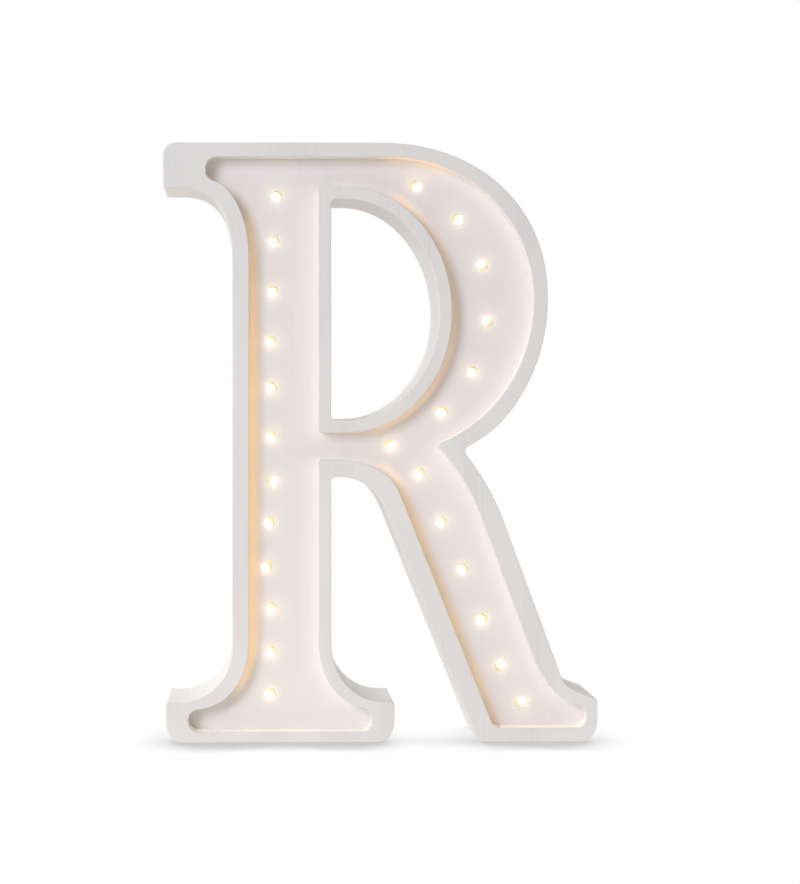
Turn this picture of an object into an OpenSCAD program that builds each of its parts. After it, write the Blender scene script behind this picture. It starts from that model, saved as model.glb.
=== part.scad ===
// Letter night light: a routed wooden capital R with a row of small warm lamps,
// a battery box and a slide switch behind it. Millimetres, +Z up, front face at -Y,
// origin on the ground at the middle of the letter's box.

/* [Letter] */
// Height of the letter
letter_h = 340; // [330:1:365]
// Depth from the front face to the back face
depth = 50; // [48:1:65]
// Width of the upright stem
stem_w = 56; // [55:0.5:66]
// Reach of the head serif to the left of the stem
head_reach = 39.2; // [36:0.2:46]
// Thickness of the head serif at its end
head_t = 25.7; // [23:0.1:30]
// Width of the bracket under the head serif
head_bracket_w = 32.5; // [26:0.5:35]
// Height of the bracket under the head serif
head_bracket_h = 47; // [40:0.5:52]
// Squareness of the bracket under the head serif, 2 for an ellipse
head_bracket_power = 2.8; // [2:0.1:3.2]
// Corner radius at the upper end of the head serif
head_corner_r = 7; // [3:0.5:10]
// Reach of the stem's foot to the left
foot_reach_left = 37.6; // [35:0.2:42]
// Reach of the stem's foot to the right
foot_reach_right = 35.9; // [34:0.2:42]
// Thickness of the stem's foot at its ends
foot_t = 22.6; // [21:0.2:28]
// Width of the brackets over the stem's foot
foot_bracket_w = 29.5; // [22:0.5:32]
// Height of the bracket over the left of the stem's foot
foot_left_bracket_h = 31; // [26:0.5:40]
// Height of the bracket over the right of the stem's foot
foot_right_bracket_h = 34; // [26:0.5:44]
// Width of the rounded lower corners of both feet
foot_corner_w = 8.5; // [3:0.5:12]
// Height of the rounded lower corners of both feet
foot_corner_h = 12; // [4:0.5:14]
// Radius of the outer corners of the outline
outer_corner_r = 1.5; // [0.5:0.25:2.5]
// Radius of the inner corners of the outline
inner_corner_r = 3; // [1:0.5:4]

/* [Bowl and leg] */
// Reach of the bowl to the right of the stem
bowl_reach = 123.2; // [118:0.2:134]
// Straight run of the outer top edge before the bowl curves
shoulder_flat = 27.5; // [22:0.5:36]
// Squareness of the bowl's upper outer curve, 2 for an ellipse
shoulder_power = 2.15; // [2:0.05:2.3]
// Straight run of the tray's top edge before the bowl curves
bowl_flat = 34.5; // [26:0.5:40]
// Drop from the top edge to the widest level of the bowl
bowl_drop = 88.7; // [84:0.1:92]
// Drop of the lower bowl curve below its widest level
bowl_low = 98; // [94:0.5:104]
// Drop of the right crotch below the widest level
crotch_drop = 85.5; // [82:0.1:88]
// Rise over the crotch at which the bowl's curve bends into it
crotch_lead = 16; // [10:0.5:20]
// Nick of the crotch past the bowl's curve
crotch_nick = 3.3; // [0:0.1:5]
// Width of the counter, the hole in the bowl
counter_w = 61.6; // [56:0.2:66]
// Straight run of the counter's upper and lower edge
counter_flat = 8.7; // [4:0.1:14]
// Drop of the counter's widest level below that of the bowl
counter_drop = 7.6; // [4:0.1:11]
// Height of the counter above its widest level
counter_up = 64.4; // [58:0.2:67]
// Height of the counter below its widest level
counter_low = 61; // [56:0.2:64]
// Reach of the leg's foot to the right of the stem
leg_reach = 151.3; // [146:0.1:162]
// Run of the leg's foot past its right edge
leg_serif_run = 6.9; // [5:0.1:12]
// Thickness of the leg's foot where it meets the leg
leg_foot_t = 31; // [28:0.2:34]
// Fall of the leg's foot from the leg to its end
leg_foot_fall = 7; // [3:0.2:9]
// Width and height of the bracket over the leg's foot
leg_bracket = 6; // [4:0.5:9]
// Run of the leg's right edge from the crotch to its knee
knee_run = 15.6; // [10:0.1:18]
// Drop of the leg's right edge from the crotch to its knee
knee_drop = 19.4; // [14:0.2:24]
// Drop of the gap's top below the crotch
gap_drop = 15.5; // [12:0.1:20]
// Width of the gap between stem and leg at its top
gap_top_w = 23.4; // [18:0.2:28]
// Width of the gap between stem and leg at the ground
gap_foot_w = 83.7; // [79:0.1:90]
// Drop over which the gap's top bends into the leg
gap_bend = 20; // [12:0.5:28]

/* [Tray] */
// Depth of the tray cut into the front
tray_depth = 10; // [7:0.5:12]
// Thickness of the floor that carries the lamps
floor_t = 5.5; // [4.5:0.1:6]
// Corner radius of the tray
tray_corner_r = 6; // [3:0.25:6]
// Radius of the wooden corners that point into the tray
tray_inner_r = 2; // [0.5:0.25:3]
// Rim along the top edge and round the bowl
rim_w = 8; // [7:0.1:9]
// Rim along the left of the stem
rim_stem = 9.4; // [8:0.1:10.4]
// Rim round the counter and along the right of the stem
rim_counter = 7.2; // [6.4:0.1:8.2]
// Rim along both edges of the leg
rim_leg = 11.1; // [9:0.1:13]
// Rim over the gap between stem and leg
rim_gap = 10.3; // [9:0.1:11]
// Rim under the bowl, where it meets the leg
rim_waist = 11.4; // [10:0.2:14]
// Rise of the tray's crotch over the outline's
rim_crotch = 3.2; // [2:0.1:6]
// Rim at the end of the head serif
rim_head_end = 24.1; // [18:0.1:28]
// Rim under the tray in the head serif
rim_head = 4.6; // [3.5:0.1:5]
// Rim over the tray in the stem's foot
rim_foot_top = 4; // [3:0.1:4.6]
// Rim at the ends of the stem's foot
rim_foot_end = 12.7; // [10:0.1:16]
// Rim under the stem's foot
rim_foot = 5.8; // [5:0.1:6.2]
// Rim at the end of the leg's foot
rim_leg_end = 6; // [5:0.1:9]
// Rim over the leg's foot
rim_leg_serif = 10.5; // [9.2:0.1:11.2]
// Rim under the leg's foot
rim_leg_ground = 7.8; // [6:0.1:8.2]
// Width of the tray's bracket under the head serif
tray_head_bracket_w = 24; // [18:0.5:28]
// Height of the tray's bracket under the head serif
tray_head_bracket_h = 44; // [36:0.5:52]
// Width of the tray's brackets over the stem's foot
tray_bracket_w = 30; // [24:0.5:34]
// Height of the tray's brackets over the stem's foot
tray_bracket_h = 37; // [28:0.5:46]
// Width of the tray's bracket over the leg's foot
leg_tray_bracket_w = 19; // [12:0.5:21]
// Height of the tray's bracket over the leg's foot
leg_tray_bracket_h = 32; // [20:0.5:40]

/* [Back panel] */
// Thickness of the back panel
panel_t = 3; // [2.5:0.1:4]
// Depth of the panel's face below the back face
panel_recess = 2; // [1.8:0.1:4]
// Width of the ledge that the panel rests on
ledge_w = 2.5; // [1.5:0.1:3]
// Gap between the panel and its recess, all round
panel_gap = 0.3; // [0.1:0.05:0.6]
// Diameter of the panel screws' shanks
screw_d = 2.4; // [2:0.1:2.6]
// Diameter of the panel screws' heads
screw_head_d = 5.6; // [5:0.1:6]
// Length of the panel screws
screw_l = 13; // [9:0.5:16]
// Diameter of the wooden lugs that the screws bite
lug_d = 11; // [9:0.5:13]
// Distance from the tray wall to the middle of a lug
lug_inset = 3; // [2:0.25:4]
// Diameter of the keyholes' entry
keyhole_d = 8.5; // [7:0.1:10]
// Width of the keyholes' slot
keyhole_slot = 4.2; // [3.5:0.1:5]
// Rise of the slot over the entry
keyhole_rise = 8; // [6:0.5:10]
// Drop of the keyholes' entry below the top edge
keyhole_drop = 30; // [27:0.5:36]
// Distance between the two keyholes
keyhole_pitch = 80; // [70:1:90]

/* [Lamps] */
// Diameter of a lamp's lens
lens_d = 4.9; // [4:0.1:5.2]
// Length of the lens in front of its flange
lens_l = 7.6; // [7:0.1:9]
// Diameter of the lens flange
flange_d = 6.2; // [6:0.1:6.8]
// Thickness of the lens flange
flange_t = 1; // [0.8:0.1:1.4]
// Gap round the lens in its hole
lens_gap = 0.4; // [0.1:0.05:0.5]
// Diameter of the sleeve behind a lamp
sleeve_d = 8.6; // [8:0.1:9.4]
// Length of the sleeve behind the floor
sleeve_l = 9; // [7:0.25:9.5]
// Gap round the flange in its sleeve
socket_gap = 0.05; // [0.02:0.01:0.15]
// Distance of the first stem lamp from the tray's left wall
lamp_inset_top = 16; // [12:0.1:18]
// Distance of the last stem lamp from the tray's left wall
lamp_inset_foot = 12.5; // [10:0.1:16]
// Drop of the first stem lamp below the top edge
lamp_drop = 29.5; // [29:0.5:40]
// Height of the last stem lamp over the ground
lamp_rise = 25.8; // [20:0.2:32]
// Place of the bowl's lamps between its inner rim and its outer rim
bowl_lamp_share = 0.47; // [0.35:0.01:0.6]

/* [Wires] */
// Diameter of a wire over its insulation
wire_d = 1.2; // [0.9:0.1:1.4]
// Distance between the middles of the two string wires
wire_pitch = 2.6; // [2:0.1:3.2]
// Gap between a sleeve's tail and the string wires
wire_gap = 0.2; // [0.1:0.05:0.4]

/* [Battery box] */
// Height of the middle of the battery box
box_z = 112; // [106:0.5:118]
// Diameter of a battery cell
cell_d = 14.2; // [13.8:0.1:14.5]
// Length of a battery cell without its nub
cell_l = 48.8; // [48:0.1:49.5]
// Diameter of a cell's nub
nub_d = 5.2; // [4.5:0.1:5.5]
// Height of a cell's nub
nub_h = 1.7; // [1.2:0.1:2]
// Gap round a cell in the box
cell_gap = 0.4; // [0.2:0.05:0.5]
// Length of a compressed contact spring
spring_l = 5.5; // [5:0.1:7]
// Diameter of the contact springs' wire
spring_wire = 0.7; // [0.5:0.05:0.8]
// Outer diameter of a spring at its plate
spring_d = 9; // [8:0.1:10]
// Thickness of the contact plates
plate_t = 0.5; // [0.3:0.05:0.6]
// Wall of the battery box
box_wall = 1.5; // [1.3:0.1:1.6]
// Width of the flange behind the panel
box_flange = 2.2; // [1.5:0.1:2.4]
// Thickness of the flange
box_flange_t = 2; // [1.5:0.1:3]
// Length of the ears that take the box screws
ear_l = 11; // [9:0.5:13]
// Thickness of the ears
ear_t = 5; // [4:0.25:7]
// Gap between the box and its opening in the panel
box_gap = 0.2; // [0.1:0.05:0.4]
// Thickness of the battery door
door_t = 2; // [1.6:0.1:2.4]
// Gap round the door
door_gap = 0.3; // [0.2:0.05:0.5]
// Diameter of the door's hinge pins
pin_d = 1.4; // [1:0.1:1.6]
// Gap round the hinge pins
pin_gap = 0.1; // [0.05:0.01:0.2]

/* [Switch] */
// Height of the middle of the switch
switch_z = 186; // [182:0.5:196]
// Travel of the slider between on and off
switch_travel = 4; // [3:0.1:4.4]
// Width and height of the slider's knob
knob_w = 4; // [3:0.1:4.4]
// Height of the knob over the panel
knob_h = 1.2; // [0.8:0.1:1.6]
// Width of the switch housing
can_w = 8; // [7:0.1:9]
// Length of the switch housing
can_l = 14; // [13.4:0.1:14.8]
// Depth of the switch housing
can_h = 5.7; // [5.4:0.1:7]
// Wall of the switch housing
can_wall = 0.6; // [0.4:0.05:0.7]
// Gap round the parts of the switch
switch_gap = 0.3; // [0.15:0.05:0.35]
// Distance between the two switch screws
switch_pitch = 21; // [20:0.1:24]
// Diameter of the switch screws' shanks
bolt_d = 1.9; // [1.6:0.1:2]
// Width of the circuit board
board_w = 16; // [14:0.5:20]
// Length of the circuit board
board_l = 26; // [24:0.5:28]
// Thickness of the circuit board
board_t = 1.2; // [0.8:0.1:1.6]
// Distance between the switch's base and the board
board_gap = 3.2; // [2.5:0.1:3.5]

/* [Hidden] */
$fn = 48;

// Steps along the curves of an outline
long_steps = 24;
bend_steps = 10;
corner_steps = 6;
// Overlap of a cut past the face that it opens
cut = 1;

// Levels along Y
front = -depth / 2;
back = depth / 2;
floor_front = front + tray_depth;
floor_back = floor_front + floor_t;
panel_back = back - panel_recess;
panel_front = panel_back - panel_t;
sleeve_tail = floor_back + sleeve_l;
wire_y = sleeve_tail + wire_gap + wire_d / 2;

// Places along X and heights of the outline
right_reach = max(leg_reach, bowl_reach);
left_reach = max(head_reach, foot_reach_left);
stem_left = left_reach - (left_reach + stem_w + right_reach) / 2;
stem_right = stem_left + stem_w;
head_left = stem_left - head_reach;
head_z = letter_h - head_t;
foot_left = stem_left - foot_reach_left;
foot_right = stem_right + foot_reach_right;
bowl_x = stem_right + bowl_flat;
bowl_z = letter_h - bowl_drop;
bowl_rx = bowl_reach - bowl_flat;
shoulder_x = stem_right + shoulder_flat;
crotch_z = bowl_z - crotch_drop;
crotch_x = bowl_x + bowl_rx * sqrt(1 - pow(crotch_drop / bowl_low, 2)) - crotch_nick;
counter_x = stem_right + counter_flat;
counter_z = bowl_z - counter_drop;
counter_rx = counter_w - counter_flat;
gap_z = crotch_z - gap_drop;
gap_flat = inner_corner_r + 1;
leg_end = stem_right + leg_reach;
leg_right_foot = leg_end - leg_serif_run;

// Slopes of the leg's two edges, run over rise
leg_left_slope = (gap_foot_w - gap_top_w) / gap_z;
leg_right_slope = (leg_right_foot - crotch_x - knee_run) / (crotch_z - knee_drop);

// Walls of the tray
tray_top = letter_h - rim_w;
tray_left = stem_left + rim_stem;
tray_right = stem_right - rim_counter;
tray_head_end = head_left + rim_head_end;
tray_head_z = head_z + rim_head;
tray_foot_left = foot_left + rim_foot_end;
tray_foot_right = foot_right - rim_foot_end;
tray_foot_z = foot_t - rim_foot_top;
tray_leg_end = leg_end - rim_leg_end;
tray_leg_z = leg_foot_t - rim_leg_serif;
tray_gap_z = gap_z + rim_gap;
tray_crotch_z = crotch_z + rim_crotch;
tray_bowl = [bowl_rx - rim_w, bowl_drop - rim_w, bowl_low - rim_waist];
counter_top = counter_z + counter_up + rim_counter;
counter_floor = counter_z - counter_low - rim_counter;
stem_mid = (tray_left + tray_right) / 2;

// Helpers
function unit(v) = v / norm(v);
function mix(a, b, share) = a + (b - a) * share;
function total(list, count) = count == 0 ? 0 : list[count - 1] + total(list, count - 1);
function reversed(list) = [for (i = [len(list) - 1 : -1 : 0]) list[i]];
function bulge(v, power) = sign(v) * pow(abs(v), 2 / power);
function arc_points(c, r, a0, a1, steps, power = 2) =
    [for (i = [0 : steps]) let (a = mix(a0, a1, i / steps))
        [c[0] + r[0] * bulge(cos(a), power), c[1] + r[1] * bulge(sin(a), power)]];
function bend_points(p0, p1, p2) =
    [for (i = [0 : bend_steps]) let (t = i / bend_steps) mix(mix(p0, p1, t), mix(p1, p2, t), t)];
function leg_left_x(z, inset) =
    stem_right + gap_foot_w - leg_left_slope * z + inset * sqrt(1 + pow(leg_left_slope, 2));
function leg_right_x(z, inset) =
    leg_right_foot - leg_right_slope * z - inset * sqrt(1 + pow(leg_right_slope, 2));

// Outline of the letter, clockwise from the head serif. The defaults give the outer
// edge, and the tray passes its own walls.
function letter_path(left = stem_left, right = stem_right, ground = 0, leg_ground = 0,
        head_x = head_left, head_under = head_z, head_r = head_corner_r,
        head_w = head_bracket_w, head_h = head_bracket_h, head_power = head_bracket_power,
        top = letter_h, top_x = shoulder_x, top_power = shoulder_power,
        bowl = [bowl_rx, bowl_drop, bowl_low], crotch = crotch_z, lead = crotch_lead,
        nick = crotch_nick, inset = 0,
        leg_x = leg_end, leg_z = leg_foot_t, leg_w = leg_bracket, leg_h = leg_bracket,
        leg_fall = leg_foot_fall, gap = gap_z, foot_l = foot_left, foot_r = foot_right,
        foot_z = foot_t, foot_w = foot_bracket_w, foot_left_h = foot_left_bracket_h,
        foot_right_h = foot_right_bracket_h, corner = [foot_corner_w, foot_corner_h]) =
    let (
        knee = crotch - knee_drop,
        calf = knee - knee_drop,
        bowl_end = -asin((bowl_z - crotch - lead) / bowl[2]),
        turn_x = bowl_x + bowl[0] * cos(bowl_end),
        turn_slope = bowl[0] / bowl[2] * tan(bowl_end),
        nick_x = bowl_x + bowl[0] * sqrt(1 - pow((bowl_z - crotch) / bowl[2], 2)) - nick,
        ankle_x = leg_right_x(leg_z, inset)
    )
    concat(
        arc_points([head_x + head_r, top - head_r], [head_r, head_r], 180, 90, corner_steps),
        arc_points([top_x, bowl_z], [bowl_x + bowl[0] - top_x, bowl[1]], 90, 0, long_steps, top_power),
        arc_points([bowl_x, bowl_z], [bowl[0], bowl[2]], 0, bowl_end, long_steps),
        bend_points([turn_x, crotch + lead], [turn_x + turn_slope * lead / 2, crotch + lead / 2],
            [nick_x, crotch]),
        bend_points([nick_x, crotch], [leg_right_x(knee, inset), knee],
            [leg_right_x(calf, inset), calf]),
        bend_points([leg_right_x(leg_z + leg_h, inset), leg_z + leg_h],
            [ankle_x, leg_z], [ankle_x + leg_w, leg_z - leg_fall * leg_w / (leg_x - ankle_x)]),
        [[leg_x, leg_z - leg_fall]],
        arc_points([leg_x - corner[0], leg_ground + corner[1]], corner, 0, -90, corner_steps),
        [[leg_left_x(leg_ground, inset), leg_ground]],
        bend_points([leg_left_x(gap - gap_bend, inset), gap - gap_bend],
            [leg_left_x(gap, inset), gap], [right + gap_flat, gap]),
        [[right, gap]],
        arc_points([right + foot_w, foot_z + foot_right_h], [foot_w, foot_right_h], 180, 270,
            bend_steps),
        [[foot_r, foot_z]],
        arc_points([foot_r - corner[0], ground + corner[1]], corner, 0, -90, corner_steps),
        arc_points([foot_l + corner[0], ground + corner[1]], corner, -90, -180, corner_steps),
        [[foot_l, foot_z]],
        arc_points([left - foot_w, foot_z + foot_left_h], [foot_w, foot_left_h], 270, 360,
            bend_steps),
        arc_points([left - head_w, head_under - head_h], [head_w, head_h], 0, 90, long_steps,
            head_power),
        [[head_x, head_under]]
    );

function counter_path(grow = 0) = concat(
    arc_points([counter_x, counter_z], [counter_rx + grow, counter_up + grow], 90, 0, long_steps),
    arc_points([counter_x, counter_z], [counter_rx + grow, counter_low + grow], 0, -90, long_steps),
    [[stem_right - grow, counter_z - counter_low - grow],
        [stem_right - grow, counter_z + counter_up + grow]]
);

// Lamps: down the stem, round the bowl, over the waist and down the leg. The gaps are
// those of the hand-drilled rows, from the top down.
stem_gaps = [25.8, 28.7, 28.5, 26.4, 28, 25.6, 23.7, 25.3, 23.7, 24.9, 24];
stem_sway = [0, -1.3, -1.5, -2.4, -1.9, -1.4, -0.5, -2.1, -3.2, 0, 0, 0];
leg_gaps = [27.5, 27.3, 28.5, 26.4, 21.4];
leg_sway = [1, 1.2, 1.6, -0.2, -1.3, 1];
bowl_angles = [66, 41.5, 18.5, -6, -29, -51.5];
leg_lamp_inset_top = 15.3;
leg_lamp_inset_foot = 20.9;
leg_lamp_drop = 14.1;
leg_lamp_rise = 20.5;

function row(first, last, gaps) =
    [for (i = [0 : len(gaps)]) mix(first, last, total(gaps, i) / total(gaps, len(gaps)))];
function swayed(spots, sway) = [for (i = [0 : len(spots) - 1]) spots[i] + [sway[i], 0]];
stem_row = row([tray_left + lamp_inset_top, letter_h - lamp_drop],
    [tray_left + lamp_inset_foot, lamp_rise], stem_gaps);
stem_lamps = swayed(stem_row, stem_sway);
lamp_x = mix(counter_x, bowl_x, bowl_lamp_share);
lamp_z = mix(counter_z, bowl_z, bowl_lamp_share);
lamp_rx = mix(counter_rx + rim_counter, tray_bowl[0], bowl_lamp_share);
lamp_up = mix(counter_up + rim_counter, tray_bowl[1], bowl_lamp_share);
lamp_low = mix(counter_low + rim_counter, tray_bowl[2], bowl_lamp_share);
bowl_lamps = [for (a = bowl_angles)
    [lamp_x + lamp_rx * cos(a), lamp_z + (a > 0 ? lamp_up : lamp_low) * sin(a)]];
waist_lamp = [bowl_x, (counter_floor + tray_gap_z) / 2];
leg_first_z = crotch_z - leg_lamp_drop;
leg_row = row([leg_left_x(leg_first_z, rim_leg) + leg_lamp_inset_top, leg_first_z],
    [leg_left_x(leg_lamp_rise, rim_leg) + leg_lamp_inset_foot, leg_lamp_rise], leg_gaps);
leg_lamps = swayed(leg_row, leg_sway);
lamp_spots = concat(stem_lamps, bowl_lamps, [waist_lamp], leg_lamps);

// Route of the lamp string from the stem's foot to the leg's foot, over the top arm
arm_z = (tray_top + counter_top) / 2;
string_route = concat(reversed(stem_lamps), [[tray_right, arm_z], [counter_x, arm_z]],
    bowl_lamps, [waist_lamp], leg_lamps);
function side_points(route, shift) =
    [for (i = [0 : len(route) - 1])
        let (t = unit(route[min(i + 1, len(route) - 1)] - route[max(i - 1, 0)]))
        [route[i][0] - shift * t[1], wire_y, route[i][1] + shift * t[0]]];

// Panel screws, at the ends of the serifs and along the tray's walls
function bowl_spot(a) = let (low = a < 0)
    [bowl_x + (tray_bowl[0] - lug_inset) * cos(a),
        bowl_z + (tray_bowl[low ? 2 : 1] - lug_inset) * sin(a)];
end_inset = 5;
gap_lug_run = 12;
side_lug_z = (stem_lamps[3][1] + stem_lamps[4][1]) / 2;
low_lug_z = (stem_lamps[9][1] + stem_lamps[10][1]) / 2;
leg_lug_z = (leg_lamps[2][1] + leg_lamps[3][1]) / 2;
wall_spots = [
    bowl_spot(48),
    bowl_spot(-36),
    [leg_right_x(leg_lug_z, rim_leg) - lug_inset, leg_lug_z],
    [tray_left + lug_inset, side_lug_z],
    [tray_left + lug_inset, low_lug_z],
    [tray_right - lug_inset, counter_z],
    [tray_right + gap_lug_run, tray_gap_z + lug_inset]
];
end_spots = [
    [tray_head_end + end_inset, (tray_top + tray_head_z) / 2],
    [tray_foot_left + end_inset, (tray_foot_z + rim_foot) / 2],
    [tray_foot_right - end_inset, (tray_foot_z + rim_foot) / 2],
    [tray_leg_end - end_inset, (tray_leg_z + rim_leg_ground) / 2]
];
end_lug_d = lug_d + 4;
screw_spots = concat(wall_spots, end_spots);
screw_gap = 0.05;
screw_pass = 0.3;
pilot_d = screw_d + 2 * screw_gap;
lamp_hole_d = lens_d + 2 * lens_gap;
// Cross recess of a screw, as shares of its head
recess_l = 0.5;
recess_w = 0.16;
recess_t = 0.6;

// Keyholes, over the stem and over the bowl
keyhole_spots = [for (k = [0, 1]) [stem_mid + k * keyhole_pitch, letter_h - keyhole_drop]];

// Battery box
cell_pitch = cell_d + cell_gap;
box_in_w = 2 * cell_d + 3 * cell_gap;
cell_total = cell_l + nub_h;
box_in_l = cell_total + spring_l + 2 * plate_t;
box_w = box_in_w + 2 * box_wall;
box_l = box_in_l + 2 * box_wall;
box_top = box_z + box_in_l / 2;
box_low = box_z - box_in_l / 2;
door_back = panel_back;
door_front = door_back - door_t;
cell_y = door_front - cell_gap - cell_d / 2;
box_floor = cell_y - cell_d / 2 - cell_gap / 2;
box_front = box_floor - box_wall;
ear_w = 12;
ear_hole = ear_l - screw_head_d;
box_screw_spots = [for (s = [-1, 1]) [stem_mid, box_z + s * (box_l / 2 + ear_hole)]];
box_screw_l = panel_t + ear_t - screw_pass;
pin_y = (door_front + door_back) / 2;
pin_z = box_top - door_gap - door_t / 2;
door_w = box_in_w - 2 * door_gap;
pin_l = box_wall - door_gap;
tab_w = 3;
tab_gap = 0.2;
tab_out = 4;
tab_l = box_wall + tab_out;
tab_shift = 2;
tab_y = cell_y - tab_shift;
// Width of a contact plate, as a share of the cell
plate_share = 0.75;
plate_w = plate_share * cell_d;

// Switch
switch_x = stem_mid;
ear_plate_t = 0.8;
can_back = panel_front - ear_plate_t;
can_front = can_back - can_h;
base_t = 1.5;
base_back = can_front + base_t;
slider_l = can_l - 2 * can_wall - switch_travel - 2 * switch_gap;
slider_w = can_w - 2 * can_wall - 2 * switch_gap;
slider_t = 1.9;
slider_back = can_back - switch_gap;
slider_front = slider_back - slider_t;
knob_tip = panel_back + knob_h;
slider_z = switch_z + switch_travel / 2;
slot_w = knob_w + 2 * switch_gap;
slot_l = knob_w + switch_travel + 2 * switch_gap;
slot_gap = 0.4;
terminal_d = 0.9;
terminal_pitch = 4.2;
terminal_gap = 0.05;
terminal_hole_d = terminal_d + 2 * terminal_gap;
terminal_spots = [for (s = [-1, 0, 1]) [switch_x, switch_z + s * terminal_pitch]];
terminal_end = 0.8;
terminal_l = base_t + board_gap + board_t + terminal_end;
wiper_t = 0.4;
wiper_foot_d = 1.4;
bolt_head_d = 3.8;
bolt_spots = [for (s = [-1, 1]) [switch_x, switch_z + s * switch_pitch / 2]];
bolt_hole_d = bolt_d + 2 * screw_gap;
bolt_end = 0.8;
nut_w = 4;
nut_t = 1.6;
bolt_l = panel_t + ear_plate_t + nut_t + bolt_end;
plate_l = switch_pitch + nut_w + 2;
board_back = can_front - board_gap;
board_front = board_back - board_t;
mark_run = 7;
mark_rise = 3;
mark_depth = 0.4;
mark_d = 3.4;
mark_line = 0.8;
on_mark = [switch_x + mark_run, switch_z + mark_rise];
off_mark = [switch_x + mark_run, switch_z - mark_rise];
resistor_d = 2.2;
resistor_l = 6.5;
resistor_lead_d = 0.6;
resistor_span = 10;
resistor_inset = 3;
resistor_x = switch_x + board_w / 2 - resistor_inset;
resistor_y = board_front - resistor_d / 2 - screw_pass;

// A flat shape drawn in X and Z, made a slab from y0 to y1
module slab(y0, y1) {
    translate([0, y1, 0]) rotate([90, 0, 0]) linear_extrude(y1 - y0) children();
}

// A round bar along Y
module rod(spot, y0, y1, d0, d1) {
    translate([spot[0], y1, spot[1]]) rotate([90, 0, 0]) cylinder(h = y1 - y0, d1 = d1, d2 = d0);
}

// A box given by its middle in X and Z, its size and its levels
module block(spot, size, y0, y1) {
    translate([spot[0] - size[0] / 2, y0, spot[1] - size[1] / 2]) cube([size[0], y1 - y0, size[1]]);
}

// A round wire swept along points, with flat ends
module wire(points, d, sides, up) {
    last = len(points) - 1;
    rings = [for (i = [0 : last])
        let (
            t = unit(points[min(i + 1, last)] - points[max(i - 1, 0)]),
            u = unit(cross(t, up)),
            v = cross(u, t)
        )
        for (k = [0 : sides - 1])
            points[i] + d / 2 * (u * cos(360 * k / sides) + v * sin(360 * k / sides))];
    walls = [for (i = [0 : last - 1]) for (k = [0 : sides - 1])
        let (a = i * sides + k, b = i * sides + (k + 1) % sides)
        each [[a, b, b + sides], [a, b + sides, a + sides]]];
    caps = [[for (k = [sides - 1 : -1 : 0]) k], [for (k = [0 : sides - 1]) last * sides + k]];
    polyhedron(rings, concat(walls, caps));
}

// A countersunk screw whose head lies at y_head
module screw(spot, y_head, d, head_d, length) {
    cone = (head_d - d) / 2;
    difference() {
        union() {
            rod(spot, y_head - cone, y_head, d, head_d);
            rod(spot, y_head - length, y_head - cone, d, d);
        }
        block(spot, [recess_l * head_d, recess_w * head_d], y_head - recess_t * cone, y_head + cut);
        block(spot, [recess_w * head_d, recess_l * head_d], y_head - recess_t * cone, y_head + cut);
    }
}

// Its hole and countersink in the panel
module screw_hole(spot, d, head_d) {
    hole_d = d + 2 * screw_pass;
    cone = (head_d - d) / 2;
    rod(spot, panel_front - cut, panel_back + cut, hole_d, hole_d);
    rod(spot, panel_back - cone, panel_back + cut, hole_d, head_d + 2 * screw_pass + 2 * cut);
}

module letter_2d() {
    offset(r = -inner_corner_r) offset(delta = inner_corner_r)
    offset(r = outer_corner_r) offset(delta = -outer_corner_r) difference() {
        polygon(letter_path());
        polygon(counter_path());
    }
}

module tray_2d() {
    offset(r = -tray_inner_r) offset(delta = tray_inner_r)
    offset(r = tray_corner_r) offset(delta = -tray_corner_r) difference() {
        polygon(letter_path(left = tray_left, right = tray_right, ground = rim_foot,
            leg_ground = rim_leg_ground, head_x = tray_head_end, head_under = tray_head_z,
            head_r = 0, head_w = tray_head_bracket_w, head_h = tray_head_bracket_h, head_power = 2,
            top = tray_top, top_x = bowl_x, top_power = 2, bowl = tray_bowl, crotch = tray_crotch_z,
            lead = 0, nick = 0, inset = rim_leg, leg_x = tray_leg_end, leg_z = tray_leg_z,
            leg_w = leg_tray_bracket_w, leg_h = leg_tray_bracket_h, leg_fall = 0,
            gap = tray_gap_z, foot_l = tray_foot_left, foot_r = tray_foot_right,
            foot_z = tray_foot_z, foot_w = tray_bracket_w, foot_left_h = tray_bracket_h,
            foot_right_h = tray_bracket_h, corner = [0, 0]));
        polygon(counter_path(rim_counter));
    }
}

module ledge_2d(shrink) {
    offset(delta = ledge_w - shrink) tray_2d();
}

module letter_body() {
    color("whitesmoke") difference() {
        slab(front, back) letter_2d();
        slab(front - cut, floor_front) tray_2d();
        difference() {
            slab(floor_back, back + cut) tray_2d();
            for (s = wall_spots) rod(s, floor_back - cut, back + 2 * cut, lug_d, lug_d);
            for (s = end_spots) rod(s, floor_back - cut, back + 2 * cut, end_lug_d, end_lug_d);
        }
        slab(panel_front, back + cut) ledge_2d(0);
        for (s = lamp_spots) rod(s, floor_front - cut, floor_back + cut, lamp_hole_d, lamp_hole_d);
        for (s = screw_spots) rod(s, panel_back - screw_l - screw_gap, back + cut, pilot_d, pilot_d);
    }
}

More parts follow.
